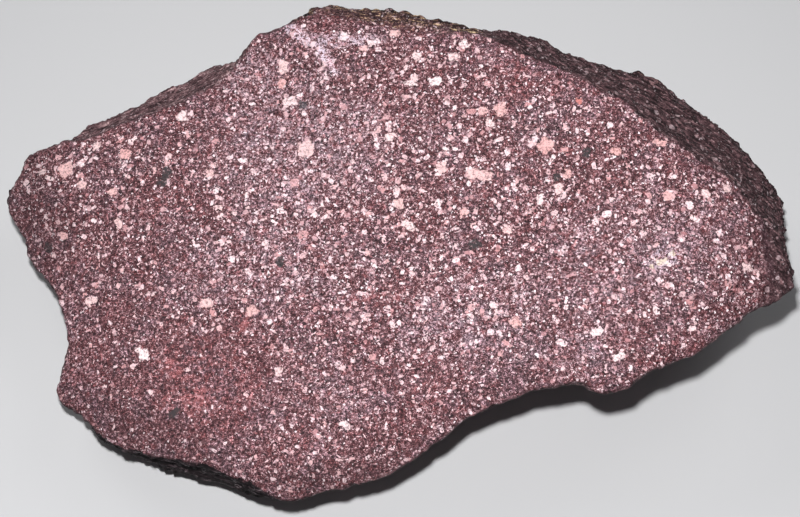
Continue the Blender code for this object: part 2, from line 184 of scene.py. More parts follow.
# the stone is the CAD solid with its facets rounded off, divided finely and roughened
stoneShape = {
    "sharpFrom": math.radians(38.0),     # edges at least this sharp stay sharp when the facets are rounded
    "sharpKept": 0.75,
    "grain": 0.52,                       # size of a mesh face, in mm
    "smoothing": 0.5,
    "smoothings": 2,
    "mostTriangles": 190000,
    "undersideFrom": (0.1, 0.5),         # how far down a surface faces where it needs fewer faces
    "undersideThinned": 4.0,             # how strongly those faces are the ones that go
    "faceNormal": Vector((-0.144, -0.162, 0.976)),
    "freshFrom": (0.60, 0.74),           # how nearly a surface faces that way where it is the fresh break
    "freshBelow": (-7.5, -5.0),          # and how far below the face's middle it may lie, in mm
    "outerFrom": (-0.35, -0.05),         # how nearly a weathered side faces the viewer where it is seen
    "sides": {
        # where each of those sides lies as seen, in mm: from where it starts to where it is full
        "rightFlank": {"right": (14.0, 20.0), "up": (-8.0, -2.0)},
        "leftFlank": {"left": (27.0, 32.0), "up": (12.0, 18.0)},
        "topStrip": {"up": (34.0, 38.0), "right": (-22.0, -18.0), "left": (-18.0, -14.0)},
        "layered": {"down": (28.0, 33.0), "left": (16.0, 22.0)},
    },
    "stripZones": ((-1.0, 46.2, 18.0, 2.3, -8.0, 1.0),),    # the brown strip along the top edge
    "stripBelow": (-15.0, -6.0),         # how far below the face's middle it reaches on the top side, in mm
    "stripRough": (0.0, 0.5),            # how strong its zone is where it becomes rough and then fully so
    "stripBrown": (0.0, 0.3),            # the same for its colour
    "stripCovers": 0.85,                 # how much of the fresh look it takes away
    "brownZones": ((46.0, 40.0, 16.0, 5.0, -20.0, 0.6),),   # the browner part of the right flank
    "rindLevels": (0.024, -0.03, -0.017),   # how much paler the left flank, right flank and strip are
    "rimSmoothing": 0.5,
    "rimSmoothings": 3,
    "rimFrom": (0.1, 0.9),               # how near the edge of the fresh break the rim's colour starts
    "rimUp": (-8.0, 0.0),                # and how far up, in mm
    "roughness": (
        # where, height, spacing along the three directions in mm, and what else the noise is
        ("hidden", 2.6, (8.0, 8.0, 6.0), {"kind": "HARD_NOISE"}),
        ("weathered", 1.3, (3.2, 3.2, 2.6), {}),
        ("rightFlank", 2.4, (9.0, 1.9, 1.9), {"kind": "HARD_NOISE"}),
        ("leftFlank", 1.8, (8.0, 1.7, 1.7), {"kind": "HARD_NOISE"}),
        ("topStrip", 2.2, (5.0, 1.6, 1.6), {"kind": "HARD_NOISE"}),
        ("layered", 2.4, (9.0, 1.6, 1.0), {"kind": "HARD_NOISE"}),
        ("fresh", 1.2, (5.0, 5.0, 5.0), {}),
        ("rim", 1.8, (3.4, 3.4, 3.4), {"basis": "VORONOI_F1", "depth": 1, "middle": 0.55}),
        ("all", 0.8, (1.6, 1.6, 1.6), {}),
    ),
}


def makeStone():
    values = stoneShape
    piece = copyOfNode("stone", "porphyryStone")
    bpy.ops.object.mode_set(mode="EDIT")
    bpy.ops.mesh.select_mode(type="EDGE")
    bpy.ops.mesh.select_all(action="DESELECT")
    bpy.ops.mesh.edges_select_sharp(sharpness=values["sharpFrom"])
    bpy.ops.transform.edge_crease(value=values["sharpKept"])
    bpy.ops.mesh.select_mode(type="VERT")
    bpy.ops.object.mode_set(mode="OBJECT")
    applyModifier(piece, "SUBSURF", levels=1, render_levels=1)
    applyModifier(piece, "REMESH", mode="VOXEL", voxel_size=values["grain"] * mm)
    applyModifier(piece, "SMOOTH", factor=values["smoothing"], iterations=values["smoothings"])

    # the underside needs fewer faces than what is seen from above
    setGroup(piece, "underside", ramp(-normals(piece)[:, 2], *values["undersideFrom"]))
    share = values["mostTriangles"] / (2.0 * len(piece.data.polygons))
    applyModifier(piece, "DECIMATE", ratio=share, vertex_group="underside",
                  vertex_group_factor=values["undersideThinned"])

    # where the stone is fresh and where it is weathered
    faceNormal = np.array(values["faceNormal"])
    above = (points(piece) - np.array(view["faceMiddle"])) @ faceNormal / mm
    fresh = ramp(normals(piece) @ faceNormal, *values["freshFrom"]) * ramp(above, *values["freshBelow"])
    weathered = 1.0 - fresh
    outerSide = weathered * ramp(normals(piece) @ np.array(seenNear), *values["outerFrom"])
    rim = 1.0 - np.abs(2.0 * fresh - 1.0)
    right, up = asSeen(points(piece))
    strip = zones(right, up, values["stripZones"]) * fresh
    ways = {"right": right, "left": -right, "up": up, "down": -up}
    sides = {}
    for name, spans in values["sides"].items():
        sides[name] = outerSide
        for way, span in spans.items():
            sides[name] = sides[name] * ramp(ways[way], *span)
    rightFlank, leftFlank, topStrip, layered = sides.values()

    setGroup(piece, "all", np.ones(len(fresh)))
    setGroup(piece, "rim", rim)
    piece.vertex_groups.active_index = piece.vertex_groups["rim"].index
    bpy.ops.object.mode_set(mode="EDIT")
    bpy.ops.mesh.select_all(action="SELECT")
    bpy.ops.object.vertex_group_smooth(factor=values["rimSmoothing"], repeat=values["rimSmoothings"],
                                       expand=1.0)
    bpy.ops.object.mode_set(mode="OBJECT")
    setGroup(piece, "fresh", fresh)
    setGroup(piece, "weathered", weathered)
    setGroup(piece, "hidden", np.clip(weathered - outerSide, 0.0, 1.0))
    setGroup(piece, "rightFlank", rightFlank)
    setGroup(piece, "leftFlank", leftFlank)
    setGroup(piece, "topStrip", np.maximum(topStrip, ramp(strip, *values["stripRough"])))
    setGroup(piece, "layered", layered)

    # where each kind of rock lies, for the material
    brown = zones(right, up, values["brownZones"]) * rightFlank
    brown = np.maximum(brown, topStrip * ramp(above, *values["stripBelow"]))
    leftLevel, rightLevel, stripLevel = values["rindLevels"]
    rindLevel = leftLevel * leftFlank + rightLevel * rightFlank + stripLevel * np.maximum(topStrip, strip)
    setField(piece, "freshRock", fresh * (1.0 - values["stripCovers"] * strip))
    setField(piece, "stripRock", np.maximum(brown, ramp(strip, *values["stripBrown"])))
    setField(piece, "rimRock", ramp(rim, *values["rimFrom"]) * ramp(up, *values["rimUp"]))
    setField(piece, "rindLevel", rindLevel)
    setField(piece, "layeredRock", layered)
    setField(piece, "streakedRock", np.clip(rightFlank + leftFlank + topStrip + strip + layered, 0.0, 1.0))

    for where, height, spacing, settings in values["roughness"]:
        roughen(piece, where, height, spacing, turn=sideTurns.get(where, 0.0), **settings)
    piece.vertex_groups.clear()

    # what would reach into the floor is flat there, round the spot that the stone rests on
    places = points(piece)
    places[:, 2] = np.maximum(places[:, 2], 0.0)
    piece.data.vertices.foreach_set("co", places.ravel())
    piece.data.update()
    pickOnly(piece)
    bpy.ops.object.shade_smooth()
    print("stone made:", len(piece.data.polygons), "faces")
    return piece


stone = makeStone()
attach(stone, "root")
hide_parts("stone")


# one part of a colour that is 0 to 255 on a screen, as the light that Blender counts in
def lightOf(part):
    part = part / 255.0
    return part / 12.92 if part < 0.04045 else ((part + 0.055) / 1.055) ** 2.4


# a colour given as 0 to 255 on a screen
def paint(red, green, blue):
    return lightOf(red), lightOf(green), lightOf(blue), 1.0


def plug(tree, value, socket):
    if isinstance(value, bpy.types.NodeSocket):
        tree.links.new(value, socket)
    else:
        socket.default_value = value


def addNode(tree, kind, inputs=None, **settings):
    made = tree.nodes.new("ShaderNode" + kind)
    for name, value in settings.items():
        setattr(made, name, value)
    for name, value in (inputs or {}).items():
        plug(tree, value, made.inputs[name])
    return made


def maths(tree, operation, *values):
    made = addNode(tree, "Math", operation=operation)
    for value, socket in zip(values, made.inputs):
        plug(tree, value, socket)
    return made.outputs[0]


def vectors(tree, operation, *values):
    made = addNode(tree, "VectorMath", operation=operation)
    for value, socket in zip(values, made.inputs):
        plug(tree, value, socket)
    return made.outputs["Value" if operation == "LENGTH" else "Vector"]


def scaled(tree, vector, amount):
    made = addNode(tree, "VectorMath", operation="SCALE")
    plug(tree, vector, made.inputs[0])
    plug(tree, amount, made.inputs["Scale"])
    return made.outputs[0]


# the value carried smoothly from low..high to newLow..newHigh
def between(tree, value, low, high, newLow=0.0, newHigh=1.0):
    made = addNode(tree, "MapRange", interpolation_type="SMOOTHSTEP")
    for amount, socket in zip((value, low, high, newLow, newHigh), made.inputs):
        plug(tree, amount, socket)
    return made.outputs[0]


# the Mix node's sockets for colours are found by number, because others have the same names
def mixed(tree, share, first, second, kind="MIX"):
    made = addNode(tree, "Mix", data_type="RGBA", blend_type=kind, clamp_factor=True)
    plug(tree, share, made.inputs[0])
    plug(tree, first, made.inputs[6])
    plug(tree, second, made.inputs[7])
    return made.outputs[2]


def colourRamp(tree, value, stops):
    made = addNode(tree, "ValToRGB", {"Fac": value})
    line = made.color_ramp
    line.elements[0].position, line.elements[0].color = stops[0]
    line.elements[1].position, line.elements[1].color = stops[-1]
    for place, colour in stops[1:-1]:
        line.elements.new(place).color = colour
    return made.outputs["Color"]


# spacing in the vector's own units
def noise(tree, vector, spacing, detail=2.0, roughness=0.5, shift=0.0):
    if shift:
        vector = vectors(tree, "ADD", vector, (shift, shift, shift))
    made = addNode(tree, "TexNoise", {"Vector": vector, "Scale": 1.0 / spacing, "Detail": detail,
                                      "Roughness": roughness})
    return made.outputs


# a node group with its named sockets; each is a name, a kind and for inputs a value
def newGroup(name, inputs, outputs):
    tree = bpy.data.node_groups.new(name, "ShaderNodeTree")
    for label, kind, value in inputs:
        socket = tree.interface.new_socket(label, in_out="INPUT", socket_type="NodeSocket" + kind)
        socket.default_value = value
    for label, kind in outputs:
        tree.interface.new_socket(label, in_out="OUTPUT", socket_type="NodeSocket" + kind)
    return tree, tree.nodes.new("NodeGroupInput").outputs, tree.nodes.new("NodeGroupOutput").inputs


def useGroup(tree, group, **inputs):
    made = tree.nodes.new("ShaderNodeGroup")
    made.node_tree = group
    for name, value in inputs.items():
        plug(tree, value, made.inputs[name])
    return made.outputs


# 1 inside a rounded block and 0 outside it; each part of place is 1 or -1 on the block's faces
def blockMask(tree, place, soft):
    squared = vectors(tree, "MULTIPLY", place, place)
    reach = vectors(tree, "LENGTH", squared)
    low = maths(tree, "SUBTRACT", 1.0, soft)
    high = maths(tree, "ADD", 1.0, soft)
    return maths(tree, "SUBTRACT", 1.0, between(tree, reach, low, high))


noiseColour = (0.5, 0.5, 0.5)       # what the colour of a noise lies about

crystalShape = {
    "edge": (0.36, 3.0, 0.75),      # spacing of an edge's raggedness in cells, its detail and roughness
    "length": (0.55, 1.25),         # least and most, as shares of the group's Long
    "breadth": (0.16, 0.62),        # and of the length
    "thickness": (0.4, 0.95),
}


# scattered feldspar crystals: blocks of random proportions, one in each cell of a random division
def crystalGroup():
    values = crystalShape
    tree, given, result = newGroup("crystals", (
        ("Place", "Vector", (0.0, 0.0, 0.0)), ("Cell", "Float", 2.0), ("Share", "Float", 0.5),
        ("Long", "Float", 0.3), ("Ragged", "Float", 0.2), ("Soft", "Float", 0.1),
    ), (("Mask", "Float"), ("Random", "Float"), ("Facet", "Vector")))
    spacing, detail, roughness = values["edge"]
    finer = maths(tree, "MULTIPLY", given["Cell"], spacing)
    edge = addNode(tree, "TexNoise", {"Vector": given["Place"], "Scale": maths(tree, "DIVIDE", 1.0, finer),
                                      "Detail": detail, "Roughness": roughness})
    wander = vectors(tree, "SUBTRACT", edge.outputs["Color"], noiseColour)
    wander = scaled(tree, wander, maths(tree, "MULTIPLY", given["Ragged"], given["Cell"]))
    place = vectors(tree, "ADD", given["Place"], wander)
    perMm = maths(tree, "DIVIDE", 1.0, given["Cell"])
    cells = addNode(tree, "TexVoronoi", {"Vector": place, "Scale": perMm})
    offset = vectors(tree, "SUBTRACT", place, cells.outputs["Position"])
    turn = scaled(tree, cells.outputs["Color"], 2.0 * math.pi)
    turned = addNode(tree, "VectorRotate", {"Vector": offset, "Rotation": turn}, rotation_type="EULER_XYZ")
    chance = addNode(tree, "TexWhiteNoise", {"Vector": cells.outputs["Position"]}, noise_dimensions="3D")
    size = addNode(tree, "SeparateColor", {"Color": chance.outputs["Color"]})
    longest = maths(tree, "MULTIPLY", given["Cell"], given["Long"])
    longest = maths(tree, "MULTIPLY", longest, between(tree, size.outputs[0], 0.0, 1.0, *values["length"]))
    broad = maths(tree, "MULTIPLY", longest, between(tree, size.outputs[1], 0.0, 1.0, *values["breadth"]))
    thick = maths(tree, "MULTIPLY", longest, between(tree, size.outputs[2], 0.0, 1.0, *values["thickness"]))
    half = addNode(tree, "CombineXYZ", {"X": longest, "Y": broad, "Z": thick})
    mask = blockMask(tree, vectors(tree, "DIVIDE", turned.outputs[0], half.outputs[0]), given["Soft"])
    there = maths(tree, "LESS_THAN", chance.outputs["Value"], given["Share"])
    plug(tree, maths(tree, "MULTIPLY", mask, there), result["Mask"])
    again = addNode(tree, "TexWhiteNoise", {"Vector": cells.outputs["Color"]}, noise_dimensions="3D")
    plug(tree, again.outputs["Value"], result["Random"])
    plug(tree, vectors(tree, "SUBTRACT", again.outputs["Color"], noiseColour), result["Facet"])
    return tree


crystals = crystalGroup()

# Colours are as they show on a screen in full light. Where four numbers stand together, a noise or a mask
# between the first two gives what lies between the last two.
rock = {
    "noises": {
        # spacing in mm, detail, roughness and a shift that makes it differ from the others
        "fine": (0.52, 3.0, 1.0),
        "middle": (1.1, 2.0, 0.5, 7.0),
        "broad": (4.0, 2.0, 0.5, 31.0),
        "broken": (1.7, 3.0, 0.7, 17.0),
        "tone": (7.0, 3.0, 0.6, 67.0),
        "redness": (1.0, 2.0, 0.6, 53.0),
        "greyness": (1.3, 2.0, 0.6, 91.0),
        "streaks": (0.55, 3.0, 0.65),
        "lumps": (1.4, 4.0, 0.7, 41.0),
        "blotches": (1.2, 3.0, 0.7, 23.0),
        "mottling": (0.45, 2.0, 0.6, 5.0),
        "wobble": (1.1, 3.0, 0.62, 11.0),
        "bump": (0.5, 3.0, 0.6, 3.0),
    },
    "groundShares": (0.82, 0.12, 0.06),     # of the fine, middle and broad noise
    "ground": (
        (0.36, paint(16, 7, 9)), (0.44, paint(54, 28, 32)), (0.50, paint(88, 54, 59)),
        (0.555, paint(124, 84, 89)), (0.605, paint(196, 154, 160)), (0.65, paint(250, 230, 236)),
    ),
    "redGround": paint(112, 48, 50),
    "reddening": (0.48, 0.68, 0.0, 0.5),
    "greyGround": paint(100, 78, 86),
    "greying": (0.46, 0.68, 0.0, 0.55),
    "toneSwing": (0.35, 0.65, -0.14, 0.14),
    # the weathered sides
    "layeredCorner": (-10.0, -20.0),     # left of and below this the streaks lie as on the layered side
    "rightFrom": 16.0,                   # right of this as on the right flank
    "topFrom": -22.0,                    # and right of this as on the top strip, else as on the left flank
    "streakLong": 0.16,
    "sideShares": (0.6, 0.4),            # of the lumps and streaks, and of the fine noise
    "rind": (
        (0.38, paint(20, 11, 13)), (0.45, paint(48, 31, 34)), (0.52, paint(82, 58, 62)),
        (0.59, paint(126, 96, 99)), (0.66, paint(206, 174, 174)),
    ),
    "strip": (
        (0.44, paint(10, 5, 6)), (0.485, paint(50, 31, 31)), (0.52, paint(92, 66, 60)),
        (0.555, paint(146, 116, 94)), (0.60, paint(230, 206, 164)),
    ),
    "brownSwing": (0.3, 0.7, -0.6, 0.6),
    "brownEdge": (0.25, 0.75, 0.0, 1.0),
    "brownWithin": (0.0, 0.2, 0.0, 1.0),
    "layered": (
        (0.36, paint(12, 8, 10)), (0.52, paint(32, 24, 27)), (0.60, paint(66, 54, 58)),
        (0.68, paint(124, 112, 116)),
    ),
    "rim": (
        (0.36, paint(24, 12, 16)), (0.50, paint(58, 36, 42)), (0.57, paint(112, 84, 92)),
        (0.64, paint(224, 206, 214)),
    ),
    "rimCovers": 0.7,
    # zones, each right, up, half width, half height, turn in degrees and strength, and where they show
    "zonesSeen": (-0.1, 0.2),            # how nearly the surface faces the viewer
    "redZones": (
        (-37.0, -24.0, 12.5, 11.0, 0, 0.3), (-37.8, -26.2, 2.6, 3.0, 0, 0.7),
        (-43.3, -20.8, 2.2, 2.4, 30, 0.7), (-29.5, -12.0, 3.0, 1.4, 60, 0.5),
        (-3.5, -7.2, 9.0, 1.6, 5, 0.4), (22.0, 35.0, 8.0, 3.5, -25, 0.25),
    ),
    "redStain": (
        (0.36, paint(88, 38, 42)), (0.48, paint(156, 88, 90)), (0.55, paint(198, 122, 124)),
        (0.64, paint(240, 192, 196)),
    ),
    "stainSwing": (0.3, 0.7, -0.5, 0.35),
    "staining": (0.1, 0.9, 0.0, 0.6),
    "sparseZones": ((-37.0, -25.0, 14.0, 12.0, 0, 1.0),),
    "denseZones": (
        (2.0, 10.0, 48.0, 34.0, 0, 1.0), (-55.0, 12.0, 18.0, 14.0, 0, 0.8),
        (50.0, 3.0, 22.0, 18.0, 0, 0.8),
    ),
    # painted sheen and highlights: pale patches where the face catches the key light, among them the halo
    # round the painted glints; along the ridge at the top left in part a real pale bruise
    "sheenAndBruiseZones": (
        (-11.0, 41.5, 8.0, 1.4, 0, 0.5), (-19.0, 42.5, 3.6, 1.4, -35, 0.7),
        (-14.5, 38.5, 5.0, 1.2, -52, 0.7), (-27.0, 34.0, 7.0, 6.0, 30, 0.16),
        (45.0, 1.0, 20.0, 11.0, 15, 0.08), (14.0, -10.0, 16.0, 9.0, 10, 0.1),
        (34.0, -16.0, 12.0, 7.0, 20, 0.08), (-34.0, -2.0, 10.0, 7.0, 0, 0.08),
        (-14.0, -26.0, 12.0, 8.0, 0, 0.06), (-20.0, 22.0, 18.0, 14.0, 0, 0.12),
        (-22.0, 0.0, 14.0, 10.0, 0, 0.1), (50.5, 0.3, 4.2, 2.4, 20, 0.4),
    ),
    "sheenAndBruiseColour": paint(226, 212, 228),
    "sheenAndBruiseLifts": 0.1,
    "sheenAndBruiseShares": (0.6, 0.4),          # of the fine and of the broken noise
    "sheenAndBruiseSpread": (0.49, 0.56, 0.0, 1.2),
    # painted shade: darker patches where the face falls away at its two ends and its lower edges, and a
    # painted shadow line along the top edge and the right arris; at the tips in part a darker patina
    "shadeAndPatinaZones": (
        (-70.0, 8.0, 8.0, 14.0, 15, 0.6), (-46.0, -34.0, 20.0, 6.0, -25, 0.5),
        (-14.0, -42.5, 30.0, 4.5, 8, 0.6), (73.0, -2.0, 6.0, 10.0, 0, 0.6),
        (14.0, 44.0, 30.0, 1.4, -14, 0.5), (50.0, 27.0, 30.0, 1.3, -37, 0.7),
    ),
    "shade": paint(38, 24, 28),
    "shadeCovers": 0.5,
    # crystals: size of a cell in mm, share of the cells that have one, and length as a share of the cell
    "crystalLayers": (
        {"cell": 4.6, "share": 0.4, "long": 0.24,
         "pale": paint(244, 208, 210), "deep": paint(202, 144, 144)},
        {"cell": 2.3, "share": 0.74, "long": 0.41,
         "pale": paint(250, 222, 225), "deep": paint(198, 142, 144)},
        {"cell": 1.3, "share": 0.76, "long": 0.53,
         "pale": paint(252, 226, 231), "deep": paint(176, 122, 126)},
        {"cell": 0.58, "share": 0.66, "long": 0.56,
         "pale": paint(254, 238, 244), "deep": paint(160, 114, 120)},
    ),
    "crystalRagged": 0.36,
    "crystalSoft": 0.14,
    "crystalShare": (0.68, 0.3),         # of those, everywhere, and what the dense zones add
    "sparseKeeps": (0.0, 1.0, 1.0, 0.35),
    "rindKeeps": (0.0, 0.6, 0.32, 0.0),
    "mottling": (0.34, 0.56, 0.4, 1.0),
    "darkSpecks": {"cell": 0.6, "share": 0.66, "long": 0.46, "ragged": 0.3, "colour": paint(24, 10, 14)},
    "specksCover": 0.85,
    # what stands out, each right, up, half width, half height and turn in degrees
    "bigCrystals": (
        # each also has its tint, from white 0 to salmon 1, or redder above 1
        (-18.0, 20.8, 1.5, 1.6, 10, 0.45), (15.2, 15.9, 2.4, 0.95, -5, 0.55),
        (-63.5, 16.8, 1.5, 1.4, 30, 0.6), (-20.9, 29.8, 1.4, 0.9, 10, 0.2),
        (-22.2, 36.5, 1.0, 1.2, 0, 0.4), (-22.4, 33.3, 0.8, 0.9, 0, 0.8),
        (-52.3, 19.9, 1.2, 1.0, -15, 0.75), (27.5, 21.4, 1.3, 1.5, -25, 0.75),
        (6.8, 33.8, 1.3, 0.85, 10, 0.0), (2.1, 33.2, 1.3, 0.5, -10, 0.1),
        (12.2, 40.8, 0.85, 0.85, 20, 0.1), (-10.6, 42.3, 0.9, 0.8, 0, 0.05),
        (-5.0, 41.1, 1.2, 0.55, 12, 0.1), (-7.0, 39.9, 1.0, 0.6, 25, 0.6),
        (-1.1, 42.7, 1.1, 0.8, -10, 0.55), (3.2, 38.5, 0.75, 0.75, 0, 0.2),
        (10.3, 38.3, 0.95, 0.75, 15, 0.3), (-2.0, 23.2, 0.85, 0.75, 0, 0.25),
        (19.1, 28.3, 1.1, 1.2, 20, 0.7), (15.9, 28.0, 0.95, 0.75, 0, 0.65),
        (16.9, 25.8, 0.75, 0.85, 0, 0.25), (8.0, 17.3, 0.95, 1.0, 20, 0.5),
        (-0.2, 10.4, 0.85, 1.1, 15, 0.55), (1.6, 6.3, 1.3, 0.75, -30, 0.25),
        (30.2, 13.2, 0.75, 1.1, 5, 0.4), (26.6, 11.1, 0.55, 1.1, 0, 0.1),
        (31.8, 16.1, 0.65, 0.9, -10, 0.7), (20.4, 5.6, 0.75, 0.75, 0, 0.4),
        (12.1, 8.7, 0.75, 0.85, 20, 0.7), (33.9, 30.1, 0.65, 0.6, 0, 1.2),
        (49.4, 22.0, 1.3, 0.65, -15, 0.75), (41.2, 20.3, 1.1, 0.65, -20, 0.8),
        (50.7, 12.0, 0.8, 0.9, 0, 0.75), (58.1, 12.3, 0.85, 0.65, -30, 0.3),
        (62.1, 13.3, 0.8, 0.7, 0, 0.35), (66.0, -1.6, 0.85, 0.75, 0, 0.3),
        (37.4, -14.0, 1.1, 0.75, 20, 0.1), (41.4, -18.7, 0.95, 0.55, 15, 0.05),
        (21.9, -12.1, 0.9, 0.9, 30, 0.75), (-36.9, -8.4, 1.2, 0.85, 0, 0.5),
        (-28.1, -9.9, 1.0, 1.0, 20, 0.65), (-48.8, -18.1, 1.0, 1.1, 10, 0.0),
        (-23.0, -21.5, 0.7, 0.85, -20, 0.35), (-10.5, -31.6, 1.1, 0.55, -25, 0.15),
        (-36.1, 16.4, 0.75, 0.85, 10, 0.5), (-34.6, 9.5, 0.85, 0.55, -10, 0.35),
        (-41.4, 26.9, 0.95, 1.1, 35, 0.2), (-57.8, 21.3, 0.85, 0.65, 20, 0.35),
        (-60.4, 14.0, 0.85, 0.75, 0, 0.5), (-54.8, 12.7, 0.75, 0.75, 30, 0.6),
        (-63.9, 4.2, 0.75, 0.85, 15, 0.65), (-53.5, 6.6, 0.65, 1.0, 30, 0.45),
        (-68.0, 16.4, 0.85, 0.4, 10, 0.2), (-58.6, -8.0, 1.1, 0.8, 35, 0.35),
    ),
    "whiteCrystal": paint(248, 226, 228),
    "salmonCrystal": paint(220, 156, 152),
    "darkCrystals": (
        (-44.7, 15.4, 1.0, 1.9, -25), (-18.4, 29.2, 0.9, 0.9, 0), (-66.9, 2.2, 0.9, 1.0, 0),
        (14.3, 2.6, 1.2, 0.8, 0), (-22.8, -0.7, 0.8, 0.8, 0), (-43.0, -29.4, 0.6, 1.3, -50),
        (35.4, 20.1, 0.8, 0.9, 0), (30.0, 15.5, 0.7, 0.7, 0),
    ),
    "darkCrystal": paint(60, 55, 57),
    # painted highlights: small pale-yellow patches standing for glints of the key light off the face, each
    # right, up, half width, half height and turn in degrees
    "paintedGlints": ((49.8, -0.6, 1.1, 0.6, 20), (51.6, 0.9, 0.5, 0.5, 0), (47.6, -1.4, 0.5, 0.4, 0)),
    "paintedGlintColour": paint(216, 200, 178),
    "spotTexture": (
        (0.38, paint(176, 170, 172)), (0.46, paint(250, 248, 248)), (0.54, paint(255, 255, 255)),
    ),
    "spotDepth": 1.8,                    # half of their thickness, in mm
    "spotWobble": 2.1,
    "spotSoft": 0.24,
    # the finish
    "roughness": (0.0, 1.0, 0.75, 0.45),     # of the rock and of its crystals
    "specular": 0.22,
    "bumpStrength": 0.6,
    "bumpDepth": 0.2 * mm,
    "facetTilt": 0.5,
}


# how a thing is turned on the stone that is seen turned by an angle in degrees
def seenTurn(angle):
    facing = Matrix.Rotation(math.pi / 2 - view["lookingDown"], 3, "X")
    turned = facing @ Matrix.Rotation(math.radians(angle), 3, "Z")
    return tuple(turned.to_euler("XYZ"))


# where a place that is seen lies on the stone, in mm
def onStone(surface, right, up):
    seen = view["faceMiddle"] + (seenRight * right + seenUp * up) * mm
    hit = surface.ray_cast(viewer, (seen - viewer).normalized())[0]
    return tuple((hit if hit is not None else seen) / mm)


# what the material reads from the mesh: zones and the way the streaks of its sides run for its points, and
# for each face the spot nearest to it, so that one mask serves all the spots
def markStone(piece):
    right, up = asSeen(points(piece))
    cornerRight, cornerUp = rock["layeredCorner"]
    turns = np.select(
        [(up < cornerUp) & (right < cornerRight), right > rock["rightFrom"], right > rock["topFrom"]],
        [sideTurns["layered"], sideTurns["rightFlank"], sideTurns["topStrip"]], sideTurns["leftFlank"],
    )
    setField(piece, "streakTurn", np.radians(turns))
    seen = ramp(normals(piece) @ np.array(seenNear), *rock["zonesSeen"])
    for name in ("redZones", "sparseZones", "denseZones", "sheenAndBruiseZones", "shadeAndPatinaZones"):
        setField(piece, name, zones(right, up, rock[name]) * seen)

    white, salmon = np.array(rock["whiteCrystal"][:3]), np.array(rock["salmonCrystal"][:3])
    spots = [(spot[:5], white + (salmon - white) * spot[5]) for spot in rock["bigCrystals"]]
    spots += [(spot, np.array(rock["darkCrystal"][:3])) for spot in rock["darkCrystals"]]
    # the painted glint highlights go in as spots too
    spots += [(spot, np.array(rock["paintedGlintColour"][:3])) for spot in rock["paintedGlints"]]
    surface = BVHTree.FromObject(piece, bpy.context.evaluated_depsgraph_get())
    middles = np.array([onStone(surface, spot[0], spot[1]) for spot, tint in spots])
    halves = np.array([(spot[2], spot[3], rock["spotDepth"]) for spot, tint in spots])
    turns = np.array([seenTurn(spot[4]) for spot, tint in spots])
    tints = np.array([tint for spot, tint in spots])
    centres = np.zeros(len(piece.data.polygons) * 3)
    piece.data.polygons.foreach_get("center", centres)
    centres = centres.reshape(-1, 3) / mm
    nearest = np.zeros(len(centres), dtype=int)
    least = np.full(len(centres), np.inf)
    for number, middle in enumerate(middles):
        distance = np.linalg.norm(centres - middle, axis=1) - max(halves[number][:2])
        nearest[distance < least] = number
        least = np.minimum(least, distance)
    setField(piece, "spotMiddle", middles[nearest])
    setField(piece, "spotHalf", halves[nearest])
    setField(piece, "spotTurn", turns[nearest])
    setField(piece, "spotTint", tints[nearest])


def attribute(tree, name, output="Fac"):
    return addNode(tree, "Attribute", attribute_name=name).outputs[output]


